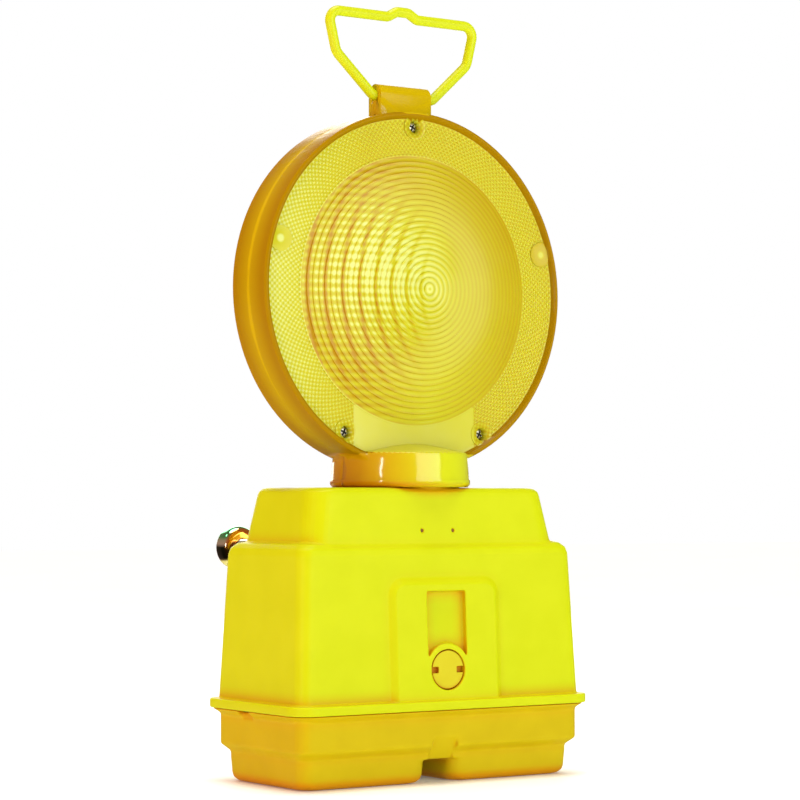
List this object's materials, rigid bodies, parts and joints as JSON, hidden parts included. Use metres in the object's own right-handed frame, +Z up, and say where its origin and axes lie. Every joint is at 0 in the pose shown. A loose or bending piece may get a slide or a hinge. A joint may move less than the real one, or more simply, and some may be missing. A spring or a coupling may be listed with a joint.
{
  "type": "barricade warning light",
  "caption": "Two-faced amber lens head with a folding wire handle, turning on a yellow two-battery case that lifts off its tray, with a mounting bolt at the back.",
  "frame": {"origin": "on the ground, under the middle of the case and the head's swivel axis", "axes": "+X to the right seen from the front, +Y from the front to the back along the mounting bolt, +Z up"},
  "size_m": [0.186, 0.2194, 0.403],
  "materials": {
    "case_yellow": "satin moulded plastic",
    "amber_lens": "clear amber moulded plastic, ringed and prismatic",
    "handle_yellow": "gloss bright yellow coating",
    "battery_jacket": "plain wrapped jacket",
    "black_plastic": "moulded",
    "white_plastic": "moulded",
    "plated_steel": "zinc plated",
    "chrome": "polished",
    "brass": "bright",
    "brown_board": "plain board",
    "green_board": "lacquered board",
    "blue_sleeve": "shrunk sleeve",
    "tan_ceramic": "lacquered",
    "red_lead": "insulated wire",
    "brown_rivet": "moulded",
    "black_rubber": "matt",
    "clear_glass": "clear",
    "cell_brown": "clear coated face"
  },
  "bodies": {
    "tray": {"battery_tray": "case_yellow", "tray_gasket": "black_rubber", "battery_left": "battery_jacket", "battery_right": "battery_jacket", "battery_tops": "black_plastic", "battery_springs": "plated_steel", "catch_bracket": "plated_steel", "catch_rivets": "plated_steel"},
    "cover": {"case_cover": "case_yellow", "contact_board": "brown_board", "contact_strips": "brass", "contact_board_screws": "plated_steel", "circuit_board": "green_board", "circuit_board_screws": "plated_steel", "capacitors": "blue_sleeve", "flasher_chip": "black_plastic", "power_transistor": "black_plastic", "resistors": "tan_ceramic", "board_leads": "red_lead", "board_clip": "plated_steel", "clip_rivets": "brown_rivet", "mode_switch": "black_plastic", "mount_bolt": "plated_steel", "bolt_seal": "black_rubber", "mast_base": "white_plastic", "mast_screws": "plated_steel", "lamp_mast": "white_plastic", "lamp_socket": "black_plastic", "bulb_base": "brass", "bulb_glass": "clear_glass", "photocell": "cell_brown", "lamp_leads": "red_lead"},
    "head": {"front_lens": "amber_lens", "rear_lens": "amber_lens", "lens_seal": "black_rubber", "front_lens_screws": "plated_steel", "rear_lens_screws": "plated_steel", "swivel_seal": "black_rubber"},
    "handle": {"carry_handle": "handle_yellow"},
    "lock": {"lock_plug": "case_yellow", "lock_cam": "plated_steel", "lock_cam_screw": "plated_steel"},
    "switch": {"mode_switch_slider": "white_plastic"},
    "washer": {"cup_washer": "chrome"},
    "nut": {"bolt_nut": "plated_steel"}
  },
  "joints": [
    {"name": "cover_lift", "type": "slide", "parent": "tray", "child": "cover", "axis": [0, 0, 1], "range_m": [0, 0.1]},
    {"name": "head_swivel", "type": "hinge", "parent": "cover", "child": "head", "pos_m": [0, 0, 0.157], "axis": [0, 0, 1], "continuous": true},
    {"name": "handle_fold", "type": "hinge", "parent": "head", "child": "handle", "pos_m": [0, 0, 0.3552], "axis": [1, 0, 0], "range_deg": [-115, 115]},
    {"name": "lock_turn", "type": "hinge", "parent": "cover", "child": "lock", "pos_m": [0, -0.0385, 0.0578], "axis": [0, -1, 0], "range_deg": [0, 90]},
    {"name": "switch_slide", "type": "slide", "parent": "cover", "child": "switch", "axis": [0, 1, 0], "range_m": [-0.003, 0.003]},
    {"name": "washer_travel", "type": "slide", "parent": "cover", "child": "washer", "axis": [0, -1, 0], "range_m": [0, 0.008]},
    {"name": "nut_turn", "type": "hinge", "parent": "washer", "child": "nut", "pos_m": [0, 0.1635, 0.117], "axis": [0, -1, 0], "range_deg": [0, 1800]}
  ],
  "couplings": [
    {"joint": "washer_travel", "follows": "nut_turn", "m_per_rad": 0.00025266}
  ]
}
